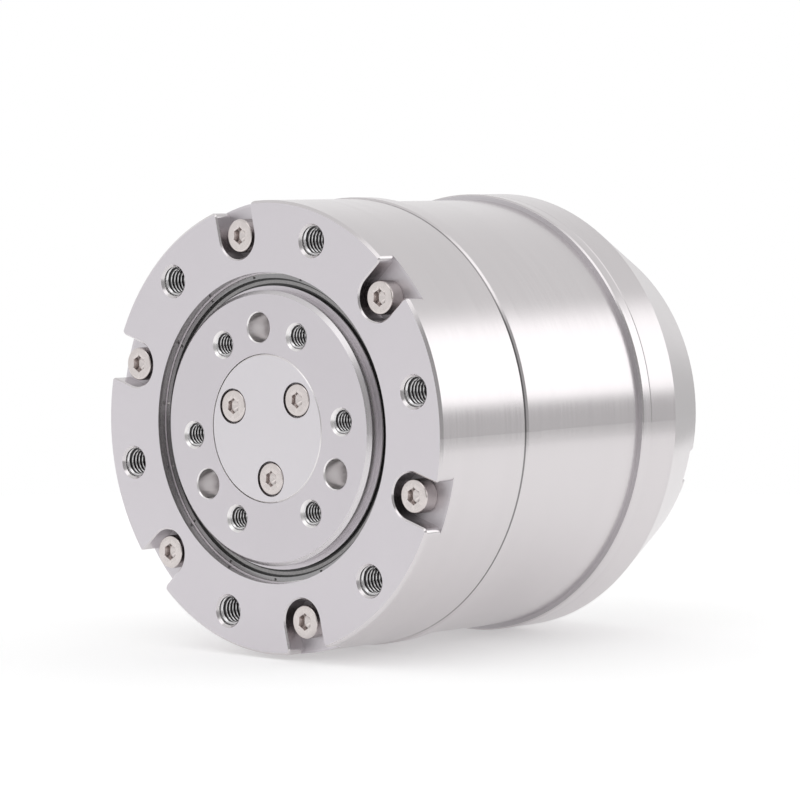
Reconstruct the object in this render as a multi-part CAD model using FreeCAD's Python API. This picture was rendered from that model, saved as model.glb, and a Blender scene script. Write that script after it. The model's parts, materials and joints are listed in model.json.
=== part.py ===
import FreeCAD, Part
import math
import os

# Planetary servo actuator for a robot joint. Millimetres.
# The axis is Y: the output flange faces -Y and the rear opening faces +Y. +Z is up.
# The origin is the centre of the housing's front mounting face.
# An angle is counted clockwise from +Z as seen from the front, and a station is a Y value.

# ---- driving dimensions ---------------------------------------------------------------
# Sizes across the axis build up from the ring gear's pitch circle, by the named steps.

# fits and gaps
PRESS = 0.02            # radial play of a seated or tapped part
RUNNING = 0.04          # radial play of a running fit
FACE_GAP = 0.05         # axial play beside a turning face
FREE = 0.5              # free space around a turning part

# planetary gear train
MODULE = 0.8
PRESSURE_ANGLE = 20.0
SUN_TEETH = 12
PLANET_TEETH = 24
PLANET_COUNT = 3
RING_TEETH = SUN_TEETH + 2 * PLANET_TEETH
RING_PITCH_D = MODULE * RING_TEETH
PLANET_RADIUS = MODULE * (SUN_TEETH + PLANET_TEETH) / 2
BACKLASH = 0.05         # thinning of each tooth at its pitch circle
ADDENDUM = 1.0
SHORT_ADDENDUM = 0.8    # planets and ring have shortened teeth
DEDENDUM = 1.25
RING_DEDENDUM = 1.1
GEAR_W = 7.0
RING_GEAR_W = 10.0
RING_RIM = 5.0          # from the ring gear's pitch circle to its outside
RING_GEAR_D = RING_PITCH_D + 2 * RING_RIM
RING_SHOULDER_T = 1.0
PLANET_ANGLE = 23.7
PIN_D = 5.0
PIN_SEAT = 3.1
BUSH_T = 1.06
WASHER_D = 10.0
WASHER_T = 0.4
POST_R = 4.0
POST_STEP = 1.1         # the carrier's posts stand outside the planets' circle by this
POST_RADIUS = PLANET_RADIUS + POST_STEP
CARRIER_D = 2 * (POST_RADIUS + POST_R)
CARRIER_T = 2.8
CARRIER_GAP = 0.3       # between the snap ring and the planets' face of the carrier

# output bearing, a crossed-roller bearing
BEARING_STEP = 4.0      # its bore is inside the ring gear's pitch circle by this
BEARING_BORE_D = RING_PITCH_D - 2 * BEARING_STEP
BEARING_SECTION = 6.0   # radial height of its section
BEARING_D = BEARING_BORE_D + 2 * BEARING_SECTION
BEARING_W = 7.0
ROLLER_D = 3.0
ROLLER_L = 2.9
ROLLER_COUNT = 24
BEARING_SPLIT = 0.8     # gap between the two rings, across the diameter
CAGE_T = 0.5
BEARING_LIP = 1.2       # radial height of a shoulder that holds a bearing
SEAL_RIM = 0.8          # metal of the outer ring left round the seal
SEAL_SEAT_T = 1.0
SEAL_SETBACK = 0.15     # the seal's face is behind the bearing's face by this
SEAL_H = 1.7            # radial height

# front mounting pattern, on the same circle as the housing screws
SCREW_LAND = 4.0        # from the ring gear's outside to the screw circle
FRONT_PCD = RING_GEAR_D + 2 * SCREW_LAND
FRONT_COUNT = 6
FRONT_THREAD_D = 5.0
FRONT_THREAD_DEPTH = 10.0
FRONT_THREAD_ANGLE = 17.0
CAP_SCREW_ANGLE = 47.0
CAP_SCREW_L = 25.0
POCKET_R = 3.95
POCKET_DEPTH = 3.6
POCKET_CORNER_R = 1.0
POCKET_EDGE = 0.25      # chamfer round a pocket

# housings
RIM_LAND = 5.25         # from the screw circle to the housing's rim
HOUSING_D = FRONT_PCD + 2 * RIM_LAND
GEAR_HOUSING_L = 21.3
WAIST_STEP = 0.5        # the motor housing is waisted by this
WAIST_D = HOUSING_D - 2 * WAIST_STEP
WAIST_L = 33.2
MOTOR_RIM_STEP = 0.25   # its front rim is larger than the gear housing by this
MOTOR_RIM_D = HOUSING_D + 2 * MOTOR_RIM_STEP
FRONT_RIM_L = 3.8
REAR_RIM_L = 2.2
RIM_CHAMFER = 0.25
JOINT_CHAMFER = 0.5     # where it meets the gear housing
MOTOR_WALL = 5.25
CAP_STEP = 1.0          # its rear rim and the rear cap stand proud of the waist by this
CAP_D = WAIST_D + 2 * CAP_STEP
CAP_CHAMFER = 0.2
CAP_STRAIGHT_L = 6.9
CAP_CONE_L = 15.8
CAP_WALL = 2.75
CAP_TAPER_LEAD = 1.0    # the inside starts to narrow this far ahead of the outside
EDGE_CHAMFER = 0.45
SEAM_CHAMFER = 0.3

# output flange
FLANGE_STEP = 2.8       # the flange is smaller than the bearing by this, at the radius
FLANGE_D = BEARING_D - 2 * FLANGE_STEP
FLANGE_PROUD = 0.65
FLANGE_T = 2.35
FLANGE_CHAMFER = 0.65
FLANGE_LIP = 0.7        # thin lip behind the flange, over the bearing's seal
FLANGE_LIP_T = 0.35
OUTPUT_LAND = 3.0       # from the output circle to the bearing's bore
OUTPUT_PCD = BEARING_BORE_D - 2 * OUTPUT_LAND
OUTPUT_COUNT = 6
OUTPUT_THREAD_D = 4.0
OUTPUT_THREAD_DEPTH = 7.0
OUTPUT_THREAD_ANGLE = 23.7
DOWEL_D = 5.0
DOWEL_DEPTH = 6.0
DOWEL_COUNT = 3
DOWEL_ANGLE = -6.3
THREAD_MOUTH = 0.4      # countersink at a thread's mouth
RETAINER_RECESS = 1.8
RETAINER_T = 0.4
RETAINER_PLAY = 0.1
RETAINER_W = 0.7
RETAINER_SLOTS = 15
RETAINER_SLOT_ANGLE = 12.6
RETAINER_SLOT_W = 0.5
RETAINER_SLOT_DEPTH = 0.5
MOUTH_STEP = 0.18       # the bore is wider than the bearing's seat at its mouth
SNAP_RING_T = 1.5
SNAP_RING_H = 2.6       # it stands this far above the hub
SNAP_GROOVE_DEPTH = 1.25
SNAP_RING_GAP = 4.5

# ball bearings with rubbing seals
NOSE_BEARING_BORE_D = 6.0
NOSE_BEARING_D = 13.0
NOSE_BEARING_W = 5.0
CARRIER_BEARING_BORE_D = 20.0
CARRIER_BEARING_D = 27.0
CARRIER_BEARING_W = 4.0
SHAFT_BEARING_BORE_D = 8.0
SHAFT_BEARING_D = 16.0
SHAFT_BEARING_W = 5.0
BEARING_WEB = 1.0       # metal between two bearings, or behind a bearing's seat

# cover plate, over the nose bearing
COVER_SCREW_LAND = 2.0  # from the nose bearing to the screw circle
COVER_SCREW_PCD = NOSE_BEARING_D + 2 * COVER_SCREW_LAND
COVER_RIM = 4.0         # from the screw circle to the plate's rim
COVER_D = COVER_SCREW_PCD + 2 * COVER_RIM
COVER_T = 3.0
COVER_SEAM = 0.06
COVER_EDGE = 0.2
COVER_SCREW_COUNT = 3
COVER_SCREW_ANGLE = 53.7
COVER_SCREW_SINK = 2.0

# motor
STATOR_D = WAIST_D - 2 * MOTOR_WALL
STATOR_L = 18.0
STATOR_BORE_D = 40.0
STATOR_TEETH = 12
TOOTH_W = 5.0
TOOTH_TIP = 1.5
SLOT_OPENING = 2.2
BACK_IRON = 4.0
COIL_T = 2.3
COIL_OVERHANG = 2.4
COIL_CORNER_R = 1.92
COIL_PLAY = 0.1         # insulation between a coil and the core
AIR_GAP = 0.4
MAGNET_T = 1.2
MAGNET_COUNT = 14
MAGNET_SPAN_ANGLE = 22.0
ROTOR_L = 16.0
YOKE_T = 1.4
HUB_RIM_T = 1.5
HUB_WEB_T = 3.0
HUB_SLEEVE_T = 3.5
HUB_HOLES = 6
HUB_HOLE_D = 5.0
BULKHEAD_T = 4.5
STATOR_SHOULDER = 2.5
BEARING_BOSS_T = 2.4

# rear end
PLATE_T = 3.0
PLATE_SPIGOT_L = 2.0
PLATE_SCREW_COUNT = 6
PLATE_SCREW_L = 6.0
SCREW_END_GAP = 1.0     # free depth past a screw's end
BOARD_STANDOFF_L = 4.0
BOARD_T = 1.6
BOARD_EDGE = 6.0        # between the board and the rear cap's bore
STANDOFF_D = 5.5
STANDOFF_RADIUS = 22.0
STANDOFF_COUNT = 4
STANDOFF_ANGLE = 62.0
COVER_LIP = 2.0
REAR_COVER_D = 59.0
REAR_COVER_T = 3.0
REAR_COVER_SCREW_L = 6.0
REAR_RIM_T = 2.0        # rim of the rear cap, round the cover
CAP_REAR_D = REAR_COVER_D + 2 * REAR_RIM_T
CABLE_NOTCH_W = 6.0
CABLE_NOTCH_DEPTH = 2.5
CABLE_ANGLE = 107.0
ENCODER_MAGNET_L = 2.0
ENCODER_GAP = 0.6
ENCODER_CHIP_W = 4.0
POWER_W = 14.0
POWER_H = 7.0
POWER_RADIUS = 19.5
POWER_CONTACTS = 2
POWER_CONTACT_D = 2.4
SIGNAL_W = 9.0
SIGNAL_H = 4.5
SIGNAL_RADIUS = 11.0
SIGNAL_CONTACTS = 4
SIGNAL_CONTACT_D = 0.8
CONNECTOR_WALL = 1.0
CONNECTOR_FLOOR = 2.0
LEAD_D = 1.8
LEAD_HOLE_D = 2.6
LEAD_COUNT = 3
LEAD_ANGLE = 227.0
LEAD_STEP_ANGLE = 30.0
SWITCH_W = 5.0
SWITCH_H = 6.0
SWITCH_T = 1.0
SWITCH_RADIUS = 15.0
SWITCH_COUNT = 6
SWITCH_ANGLE = 182.0
SWITCH_STEP_ANGLE = 22.0
PROCESSOR_W = 9.0
PROCESSOR_T = 1.2
CAPACITOR_D = 6.3
CAPACITOR_L = 7.0
CAPACITOR_RADIUS = 20.0
CAPACITOR_ANGLE = 70.0

# screws: shank, head diameter, head height, hexagon across flats, hexagon depth
M3_CAP = (3.0, 5.5, 3.0, 2.5, 1.5)
M3_LOW = (3.0, 5.5, 2.0, 2.0, 1.1)
M2_CAP = (2.0, 3.8, 2.0, 1.5, 1.0)
SCREW_CLEARANCE = 0.2   # radial play of a screw in its clearance hole
HEAD_CLEARANCE = 0.25   # radial play of a screw head in its counterbore

# bearings: bore, outside diameter, width
NOSE_BEARING = (NOSE_BEARING_BORE_D, NOSE_BEARING_D, NOSE_BEARING_W)
CARRIER_BEARING = (CARRIER_BEARING_BORE_D, CARRIER_BEARING_D, CARRIER_BEARING_W)
SHAFT_BEARING = (SHAFT_BEARING_BORE_D, SHAFT_BEARING_D, SHAFT_BEARING_W)

ORIGIN = FreeCAD.Vector(0, 0, 0)
AXIS = FreeCAD.Vector(0, 1, 0)


# ---- shapes ---------------------------------------------------------------------------

def turned(outline):
    """Solid of revolution about the axis from a closed outline of (radius, station)."""
    points = [FreeCAD.Vector(radius, station, 0) for radius, station in outline]
    return Part.Face(Part.makePolygon(points + points[:1])).revolve(ORIGIN, AXIS, 360)


def tube(outer_d, inner_d, start, end):
    return turned([(inner_d / 2, start), (outer_d / 2, start), (outer_d / 2, end), (inner_d / 2, end)])


def at(radius, angle, station=0.0):
    turn = math.radians(angle)
    return FreeCAD.Vector(radius * math.sin(turn), station, radius * math.cos(turn))


def rod(diameter, start, end, radius=0.0, angle=0.0):
    return Part.makeCylinder(diameter / 2, end - start, at(radius, angle, start), AXIS)


def cone(start_d, end_d, start, end, radius=0.0, angle=0.0):
    return Part.makeCone(start_d / 2, end_d / 2, end - start, at(radius, angle, start), AXIS)


def turn_to(shape, angle):
    copy = shape.copy()
    copy.rotate(ORIGIN, AXIS, angle)
    return copy


def ring_of(shape, count, first=0.0):
    """Copies of a shape that was made at the top, spread evenly round the axis."""
    return [turn_to(shape, first + 360.0 * index / count) for index in range(count)]


def block(width, height, start, end, radius=0.0):
    """Box centred on x = 0 and on z = radius."""
    corner = FreeCAD.Vector(-width / 2, start, radius - height / 2)
    return Part.makeBox(width, end - start, height, corner)


def prism(points, start, end):
    """Extrusion along the axis of a closed outline of (x, z)."""
    corners = [FreeCAD.Vector(x, start, z) for x, z in points]
    face = Part.Face(Part.makePolygon(corners + corners[:1]))
    return face.extrude(FreeCAD.Vector(0, end - start, 0))


def hexagon(across_flats, start, end):
    corner = across_flats / math.sqrt(3)
    points = [(corner * math.sin(math.radians(60 * k)), corner * math.cos(math.radians(60 * k)))
              for k in range(6)]
    return prism(points, start, end)


def sector(inner_r, outer_r, span, start, end):
    """Piece of a ring, centred on the top."""
    half = span / 2
    inner = Part.Arc(at(inner_r, -half, start), at(inner_r, 0, start), at(inner_r, half, start))
    outer = Part.Arc(at(outer_r, half, start), at(outer_r, 0, start), at(outer_r, -half, start))
    sides = [Part.makeLine(at(inner_r, half, start), at(outer_r, half, start)),
             Part.makeLine(at(outer_r, -half, start), at(inner_r, -half, start))]
    wire = Part.Wire([inner.toShape(), sides[0], outer.toShape(), sides[1]])
    return Part.Face(wire).extrude(FreeCAD.Vector(0, end - start, 0))


def screw(kind, seat, length, points_back=True):
    """Socket screw on the axis. Its head stands on the seat and its shank points rearward."""
    shank_d, head_d, head_h, flats, depth = kind
    head = rod(head_d, seat - head_h, seat).cut(hexagon(flats, seat - head_h, seat - head_h + depth))
    body = head.fuse(rod(shank_d, seat, seat + length))
    if points_back:
        return body
    body.rotate(FreeCAD.Vector(0, seat, 0), FreeCAD.Vector(0, 0, 1), 180)
    return body


def placed(shape, radius, angle):
    """Copy of a shape made on the axis, moved out to a radius and turned to an angle."""
    copy = shape.copy()
    copy.translate(FreeCAD.Vector(0, 0, radius))
    return turn_to(copy, angle)


def pattern(shape, radius, count, first):
    return [placed(shape, radius, first + 360.0 * index / count) for index in range(count)]


def group(shapes):
    return Part.makeCompound(shapes)


parts = {}


# ---- stations along the axis ----------------------------------------------------------

flange_front = -FLANGE_PROUD
flange_back = flange_front + FLANGE_T
bearing_front = RETAINER_RECESS + RETAINER_T
bearing_back = bearing_front + BEARING_W
snap_back = bearing_back + SNAP_RING_T
carrier_face = snap_back + CARRIER_GAP
gear_front = carrier_face + WASHER_T + 2 * FACE_GAP
gear_back = gear_front + GEAR_W
carrier_plate_front = gear_back + WASHER_T + 2 * FACE_GAP
carrier_plate_back = carrier_plate_front + CARRIER_T
ring_gear_front = bearing_back + RING_SHOULDER_T
ring_gear_back = ring_gear_front + RING_GEAR_W
waist_front = GEAR_HOUSING_L
waist_back = waist_front + WAIST_L
bulkhead_front = carrier_plate_back + FREE
carrier_bearing_back = bulkhead_front + CARRIER_BEARING[2]
bulkhead_back = bulkhead_front + BULKHEAD_T
shaft_bearing_front = carrier_bearing_back + BEARING_WEB
shaft_bearing_back = shaft_bearing_front + SHAFT_BEARING[2]
stator_front = bulkhead_back + STATOR_SHOULDER + FREE
stator_back = stator_front + STATOR_L
rotor_front = stator_front + (STATOR_L - ROTOR_L) / 2
rotor_back = rotor_front + ROTOR_L
plate_front = waist_back
plate_back = plate_front + PLATE_T
cap_straight = plate_front + CAP_STRAIGHT_L
cap_back = cap_straight + CAP_CONE_L
rear_cover_back = cap_back - CABLE_NOTCH_DEPTH
rear_cover_front = rear_cover_back - REAR_COVER_T
board_front = plate_back + BOARD_STANDOFF_L
board_back = board_front + BOARD_T
rear_bearing_back = plate_back - FREE
rear_bearing_front = rear_bearing_back - NOSE_BEARING[2]
shaft_back = plate_back + FREE
nose_bearing_front = flange_front + COVER_T + BEARING_WEB
nose_bearing_back = nose_bearing_front + NOSE_BEARING[2]

pitch_radius = (BEARING_BORE_D + BEARING_D) / 4
roller_station = (bearing_front + bearing_back) / 2


# ---- gear housing, at the front -------------------------------------------------------

def pocket_outline(station, wider):
    """U-shaped outline, open at the rim with rounded corners, that is wider all round by a bit."""
    half_w = POCKET_R + wider
    corner_r = POCKET_CORNER_R - wider
    centre_x = POCKET_R + POCKET_CORNER_R
    centre_r = HOUSING_D / 2 - POCKET_CORNER_R
    centre_z = math.sqrt(centre_r ** 2 - centre_x ** 2)
    rim_x = centre_x * (centre_r + corner_r) / centre_r
    rim_z = centre_z * (centre_r + corner_r) / centre_r
    mid_turn = (math.pi + math.atan2(centre_z, centre_x)) / 2
    mid_x = centre_x + corner_r * math.cos(mid_turn)
    mid_z = centre_z + corner_r * math.sin(mid_turn)
    screw_z = FRONT_PCD / 2
    far = HOUSING_D / 2 + POCKET_CORNER_R

    def point(x, z):
        return FreeCAD.Vector(x, station, z)

    low = point(0, screw_z - half_w)
    return Part.Wire([
        Part.Arc(point(-half_w, screw_z), low, point(half_w, screw_z)).toShape(),
        Part.makeLine(point(half_w, screw_z), point(half_w, centre_z)),
        Part.Arc(point(half_w, centre_z), point(mid_x, mid_z), point(rim_x, rim_z)).toShape(),
        Part.makeLine(point(rim_x, rim_z), point(rim_x, far)),
        Part.makeLine(point(rim_x, far), point(-rim_x, far)),
        Part.makeLine(point(-rim_x, far), point(-rim_x, rim_z)),
        Part.Arc(point(-rim_x, rim_z), point(-mid_x, mid_z), point(-half_w, centre_z)).toShape(),
        Part.makeLine(point(-half_w, centre_z), point(-half_w, screw_z)),
    ])


def pocket_tool():
    """Open pocket round a cap screw that runs out through the rim, with a chamfered edge."""
    pocket = Part.Face(pocket_outline(0, 0)).extrude(FreeCAD.Vector(0, POCKET_DEPTH, 0))
    edge = Part.makeLoft([pocket_outline(0, POCKET_EDGE), pocket_outline(POCKET_EDGE, 0)], True, True)
    return pocket.fuse(edge)


def threaded_hole(thread_d, mouth, depth, radius, angle):
    """Blind hole at the thread's outside diameter, with a countersunk mouth and a drill point."""
    hole = rod(thread_d, mouth, mouth + depth, radius, angle)
    sink = cone(thread_d + 2 * THREAD_MOUTH, thread_d, mouth, mouth + THREAD_MOUTH, radius, angle)
    point = cone(thread_d, 0, mouth + depth, mouth + depth + thread_d / 4, radius, angle)
    return hole.fuse([sink, point])


def gear_housing():
    rim = HOUSING_D / 2
    seat = BEARING_D / 2 + PRESS
    mouth = seat + MOUTH_STEP
    gear_seat = RING_GEAR_D / 2 + PRESS
    shoulder = BEARING_D / 2 - BEARING_LIP
    body = turned([
        (mouth, 0), (rim - EDGE_CHAMFER, 0), (rim, EDGE_CHAMFER),
        (rim, waist_front - SEAM_CHAMFER), (rim - SEAM_CHAMFER, waist_front),
        (gear_seat, waist_front), (gear_seat, ring_gear_front), (shoulder, ring_gear_front),
        (shoulder, bearing_back), (seat, bearing_back), (seat, RETAINER_RECESS),
        (mouth, RETAINER_RECESS),
    ])
    hole_d = M3_CAP[0] + 2 * SCREW_CLEARANCE
    tools = ring_of(pocket_tool(), FRONT_COUNT, CAP_SCREW_ANGLE)
    tools += pattern(rod(hole_d, 0, waist_front), FRONT_PCD / 2, FRONT_COUNT, CAP_SCREW_ANGLE)
    for index in range(FRONT_COUNT):
        angle = FRONT_THREAD_ANGLE + 360.0 * index / FRONT_COUNT
        tools.append(threaded_hole(FRONT_THREAD_D, 0, FRONT_THREAD_DEPTH, FRONT_PCD / 2, angle))
    return body.cut(tools)


parts["gear_housing"] = gear_housing()
parts["housing_screws"] = group(pattern(
    screw(M3_CAP, POCKET_DEPTH, CAP_SCREW_L), FRONT_PCD / 2, FRONT_COUNT, CAP_SCREW_ANGLE))


# ---- output bearing -------------------------------------------------------------------

def roller_groove(play):
    """Square-section ring, standing on its corner, that the rollers run in."""
    half = (ROLLER_D / 2 + play) * math.sqrt(2)
    return turned([
        (pitch_radius - half, roller_station), (pitch_radius, roller_station - half),
        (pitch_radius + half, roller_station), (pitch_radius, roller_station + half),
    ])


def output_bearing():
    split_in = 2 * pitch_radius - BEARING_SPLIT
    split_out = 2 * pitch_radius + BEARING_SPLIT
    groove = roller_groove(RUNNING)
    inner = tube(split_in, BEARING_BORE_D, bearing_front, bearing_back)
    outer = tube(BEARING_D, split_out, bearing_front, bearing_back)
    seal_seat_d = BEARING_D - 2 * SEAL_RIM
    seal_seat = tube(seal_seat_d, split_out, bearing_front, bearing_front + SEAL_SEAT_T)
    parts["output_bearing_inner_ring"] = inner.cut(groove)
    parts["output_bearing_outer_ring"] = outer.cut([groove, seal_seat])
    parts["output_bearing_seal"] = tube(
        seal_seat_d - 2 * PRESS, seal_seat_d - 2 * SEAL_H,
        bearing_front + SEAL_SETBACK, bearing_front + SEAL_SEAT_T)
    rollers = []
    windows = []
    for index in range(ROLLER_COUNT):
        lean = 45 if index % 2 else -45
        middle = FreeCAD.Vector(0, roller_station, pitch_radius)
        roller = Part.makeCylinder(ROLLER_D / 2, ROLLER_L, FreeCAD.Vector(0, 0, -ROLLER_L / 2))
        roller.rotate(ORIGIN, FreeCAD.Vector(1, 0, 0), lean)
        roller.translate(middle)
        rollers.append(turn_to(roller, 360.0 * index / ROLLER_COUNT))
        window = block(ROLLER_D + 2 * RUNNING, 4 * CAGE_T, -window_half(), window_half(), pitch_radius)
        window.translate(FreeCAD.Vector(0, roller_station, 0))
        windows.append(turn_to(window, 360.0 * index / ROLLER_COUNT))
    parts["output_bearing_rollers"] = group(rollers)
    cage_d = 2 * pitch_radius
    cage = tube(cage_d + CAGE_T, cage_d - CAGE_T, bearing_front + FREE, bearing_back - FREE)
    parts["output_bearing_cage"] = cage.cut(windows)


def window_half():
    """Half the axial length of a cage window, which clears a leaning roller."""
    return (ROLLER_D + ROLLER_L) / math.sqrt(8) + RUNNING


def retaining_ring():
    """Toothed push-in ring that holds the bearing's outer ring in its seat."""
    outer_d = BEARING_D - 2 * RETAINER_PLAY
    ring = tube(outer_d, outer_d - 2 * RETAINER_W, RETAINER_RECESS, bearing_front)
    slot = block(RETAINER_SLOT_W, 2 * RETAINER_SLOT_DEPTH, RETAINER_RECESS, bearing_front, outer_d / 2)
    return ring.cut(ring_of(slot, RETAINER_SLOTS, RETAINER_SLOT_ANGLE))


def snap_ring():
    """Open ring in the hub's groove, behind the bearing's inner ring."""
    groove_d = BEARING_BORE_D - 2 * SNAP_GROOVE_DEPTH + 2 * PRESS
    ring_d = BEARING_BORE_D + 2 * SNAP_RING_H
    ring = tube(ring_d, groove_d, bearing_back, snap_back)
    gap = block(SNAP_RING_GAP, ring_d, bearing_back, snap_back, ring_d / 2)
    return ring.cut(gap)


output_bearing()
parts["bearing_retaining_ring"] = retaining_ring()
parts["bearing_snap_ring"] = snap_ring()


# ---- planetary gear train -------------------------------------------------------------

def involute_angle(base_r, radius):
    """Roll-off angle of an involute at a radius, in radians."""
    if radius <= base_r:
        return 0.0
    slope = math.sqrt((radius / base_r) ** 2 - 1)
    return slope - math.atan(slope)


def tooth_outline(teeth, tip_r, root_r, thinning):
    """Closed outline of (x, z) of a gear that has a tooth centred on the top."""
    pitch_r = MODULE * teeth / 2
    base_r = pitch_r * math.cos(math.radians(PRESSURE_ANGLE))
    low_r, high_r = sorted((tip_r, root_r))
    start_r = max(base_r, low_r)
    flank = [start_r, (start_r + high_r) / 2, high_r]
    if low_r < base_r:
        flank = [low_r] + flank
    half_pitch = (math.pi * MODULE / 2 - thinning) / 2 / pitch_r + involute_angle(base_r, pitch_r)
    points = []
    for tooth in range(teeth):
        centre = 2 * math.pi * tooth / teeth
        left = [(radius, centre - half_pitch + involute_angle(base_r, radius)) for radius in flank]
        right = [(radius, 2 * centre - turn) for radius, turn in reversed(left)]
        points += left + right
    return [(radius * math.sin(turn), radius * math.cos(turn)) for radius, turn in points]


def external_gear(teeth, addendum, start, end):
    pitch_r = MODULE * teeth / 2
    outline = tooth_outline(teeth, pitch_r + MODULE * addendum, pitch_r - MODULE * DEDENDUM, BACKLASH)
    return prism(outline, start, end)


def ring_gear():
    """Internal gear: a cylinder less the outline of a gear whose teeth are its tooth spaces."""
    pitch_r = RING_PITCH_D / 2
    tip_r = pitch_r - MODULE * SHORT_ADDENDUM
    root_r = pitch_r + MODULE * RING_DEDENDUM
    outline = tooth_outline(RING_TEETH, root_r, tip_r, -BACKLASH)
    spaces = prism(outline, ring_gear_front, ring_gear_back)
    half_tooth = 180.0 / RING_TEETH
    body = rod(RING_GEAR_D, ring_gear_front, ring_gear_back)
    return turn_to(body.cut(spaces), PLANET_ANGLE + half_tooth)


def sun_shaft():
    """Sun gear cut on the rotor shaft, with a journal at each end."""
    nose_d = NOSE_BEARING[0] - 2 * PRESS
    shaft_d = SHAFT_BEARING[0] - 2 * PRESS
    gear = external_gear(SUN_TEETH, ADDENDUM, gear_front, gear_back)
    pieces = [
        rod(nose_d, nose_bearing_front, gear_front),
        rod(shaft_d, gear_back, rear_bearing_front - FREE),
        rod(nose_d, rear_bearing_front - FREE, shaft_back),
    ]
    return turn_to(gear.fuse(pieces), PLANET_ANGLE)


def planet():
    """Planet gear and its bush, at the top of the train."""
    bush_d = PIN_D + 2 * RUNNING + 2 * BUSH_T
    bore = rod(bush_d + PRESS, gear_front, gear_back)
    gear = external_gear(PLANET_TEETH, SHORT_ADDENDUM, gear_front, gear_back).cut(bore)
    gear.rotate(ORIGIN, AXIS, 180.0 / PLANET_TEETH)
    bush = tube(bush_d, PIN_D + 2 * RUNNING, gear_front, gear_back)
    return gear, bush


parts["ring_gear"] = ring_gear()
parts["sun_shaft"] = sun_shaft()
planet_gear, planet_bush = planet()
for number in range(PLANET_COUNT):
    place = PLANET_ANGLE + 360.0 * number / PLANET_COUNT
    parts["planet_gear_%d" % (number + 1)] = placed(planet_gear, PLANET_RADIUS, place)
    parts["planet_bush_%d" % (number + 1)] = placed(planet_bush, PLANET_RADIUS, place)


# ---- output flange and planet carrier -------------------------------------------------

def output_flange():
    face_r = FLANGE_D / 2
    hub_r = BEARING_BORE_D / 2 - PRESS
    groove_r = hub_r - SNAP_GROOVE_DEPTH
    shoulder_r = BEARING_BORE_D / 2 + BEARING_LIP
    cover_seat = flange_front + COVER_T
    nose_r = NOSE_BEARING[1] / 2 + PRESS
    lip_r = NOSE_BEARING[1] / 2 - BEARING_LIP
    body = turned([
        (COVER_D / 2 + COVER_SEAM, flange_front), (face_r - FLANGE_CHAMFER, flange_front),
        (face_r, flange_front + FLANGE_CHAMFER), (face_r, flange_back),
        (face_r + FLANGE_LIP, flange_back), (face_r + FLANGE_LIP, flange_back + FLANGE_LIP_T),
        (shoulder_r, flange_back + FLANGE_LIP_T), (shoulder_r, bearing_front),
        (hub_r, bearing_front), (hub_r, bearing_back),
        (groove_r, bearing_back), (groove_r, snap_back), (hub_r, snap_back), (hub_r, carrier_face),
        (lip_r, carrier_face), (lip_r, nose_bearing_back), (nose_r, nose_bearing_back),
        (nose_r, cover_seat), (COVER_D / 2 + COVER_SEAM, cover_seat),
    ])
    post = rod(2 * POST_R, carrier_face, carrier_plate_front)
    half_step = 180.0 / PLANET_COUNT
    body = body.fuse(pattern(post, POST_RADIUS, PLANET_COUNT, PLANET_ANGLE + half_step))
    tools = []
    for index in range(OUTPUT_COUNT):
        angle = OUTPUT_THREAD_ANGLE + 360.0 * index / OUTPUT_COUNT
        tools.append(threaded_hole(OUTPUT_THREAD_D, flange_front, OUTPUT_THREAD_DEPTH,
                                   OUTPUT_PCD / 2, angle))
    dowel = rod(DOWEL_D, flange_front, flange_front + DOWEL_DEPTH)
    dowel = dowel.fuse([
        cone(DOWEL_D + THREAD_MOUTH, DOWEL_D, flange_front, flange_front + THREAD_MOUTH / 2),
        cone(DOWEL_D, 0, flange_front + DOWEL_DEPTH, flange_front + DOWEL_DEPTH + DOWEL_D / 4),
    ])
    tools += pattern(dowel, OUTPUT_PCD / 2, DOWEL_COUNT, DOWEL_ANGLE)
    cover_hole = rod(M3_LOW[0] + 2 * PRESS, cover_seat, cover_seat + cover_screw_length())
    tools += pattern(cover_hole, COVER_SCREW_PCD / 2, COVER_SCREW_COUNT, COVER_SCREW_ANGLE)
    pin_hole = rod(PIN_D + 2 * PRESS, carrier_face - PIN_SEAT, carrier_face)
    tools += pattern(pin_hole, PLANET_RADIUS, PLANET_COUNT, PLANET_ANGLE)
    post_hole = rod(M3_LOW[0] + 2 * PRESS, carrier_face, carrier_plate_front)
    tools += pattern(post_hole, POST_RADIUS, PLANET_COUNT, PLANET_ANGLE + half_step)
    return body.cut(tools)


def cover_screw_length():
    """Thread length below the cover plate, short of the pin seats."""
    return carrier_face - PIN_SEAT - flange_front - COVER_T - FREE


def cover_plate():
    """Round plate that closes the nose bearing's seat, flush with the flange."""
    cover_seat = flange_front + COVER_T
    spigot_r = NOSE_BEARING[1] / 2 - PRESS
    spigot_bore = NOSE_BEARING[1] / 2 - BEARING_LIP
    body = turned([
        (0, flange_front), (COVER_D / 2 - COVER_EDGE, flange_front),
        (COVER_D / 2, flange_front + COVER_EDGE), (COVER_D / 2, cover_seat),
        (spigot_r, cover_seat), (spigot_r, nose_bearing_front), (spigot_bore, nose_bearing_front),
        (spigot_bore, cover_seat), (0, cover_seat),
    ])
    sink = rod(M3_LOW[1] + 2 * HEAD_CLEARANCE, flange_front, flange_front + COVER_SCREW_SINK)
    hole = rod(M3_LOW[0] + 2 * SCREW_CLEARANCE, flange_front, cover_seat)
    tools = pattern(sink.fuse(hole), COVER_SCREW_PCD / 2, COVER_SCREW_COUNT, COVER_SCREW_ANGLE)
    return body.cut(tools)


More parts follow.
